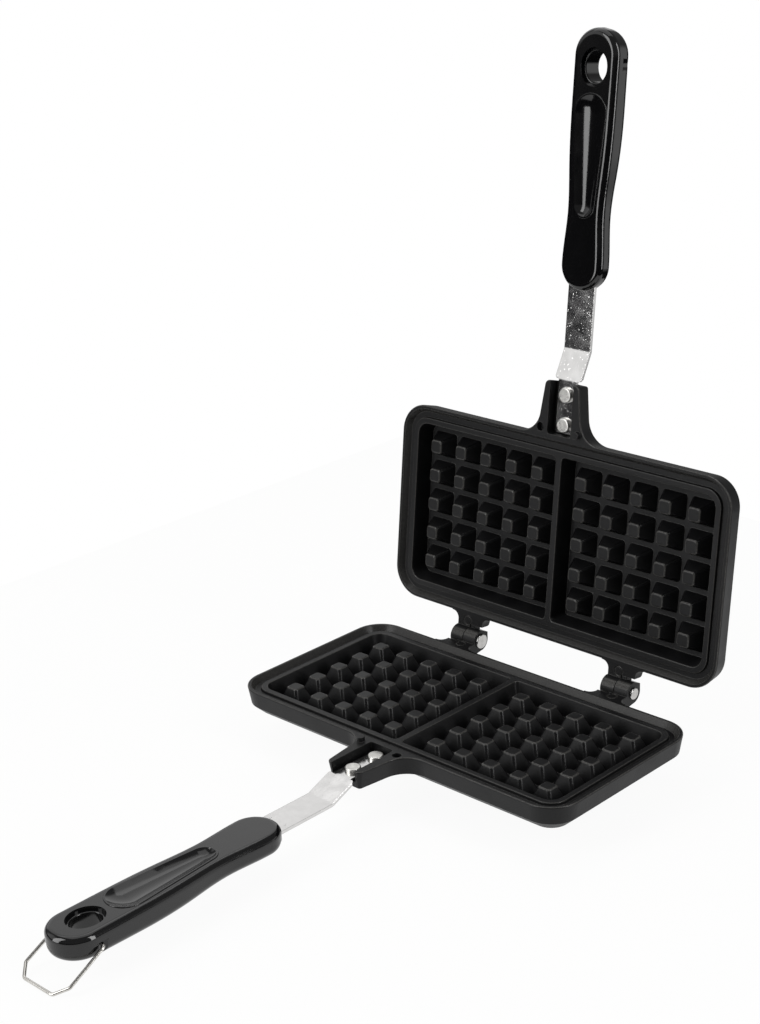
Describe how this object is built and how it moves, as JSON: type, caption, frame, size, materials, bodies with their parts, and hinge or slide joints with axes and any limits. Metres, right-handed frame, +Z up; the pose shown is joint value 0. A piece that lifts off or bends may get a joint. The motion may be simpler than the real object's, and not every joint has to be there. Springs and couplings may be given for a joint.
{
  "type": "stovetop waffle iron",
  "caption": "Hinged stovetop waffle iron: coated cast plates with square waffle pins, long handles on steel strips and a wire loop that holds them shut.",
  "frame": {"origin": "centre of the flat underside of the lower plate, which rests on the burner", "axes": "+Z up out of the lower plate's cavities, +Y from the handles to the hinge, X along the hinge axis; the iron stands open"},
  "size_m": [0.2118, 0.3889, 0.3471],
  "materials": {
    "coated_casting": "matte black non-stick coating",
    "strip_steel": "brushed",
    "rivet_metal": "satin",
    "handle_phenolic": "gloss",
    "pin_steel": "satin",
    "wire_steel": "bright drawn wire"
  },
  "bodies": {
    "lower": {"lower_plate": "coated_casting", "lower_strip": "strip_steel", "lower_front_rivet": "rivet_metal", "lower_rear_rivet": "rivet_metal", "lower_handle": "handle_phenolic", "left_hinge_pin": "pin_steel", "right_hinge_pin": "pin_steel"},
    "upper": {"upper_plate": "coated_casting", "upper_strip": "strip_steel", "upper_front_rivet": "rivet_metal", "upper_rear_rivet": "rivet_metal", "upper_handle": "handle_phenolic"},
    "wire": {"locking_wire": "wire_steel"}
  },
  "joints": [
    {"name": "lid_hinge", "type": "hinge", "parent": "lower", "child": "upper", "pos_m": [0, 0.0665, 0.0145], "axis": [1, 0, 0], "range_deg": [0, 96.8]},
    {"name": "wire_pivot", "type": "hinge", "parent": "lower", "child": "wire", "pos_m": [0, -0.2392, 0.0004], "axis": [1, 0, 0], "range_deg": [-78, 137]}
  ]
}
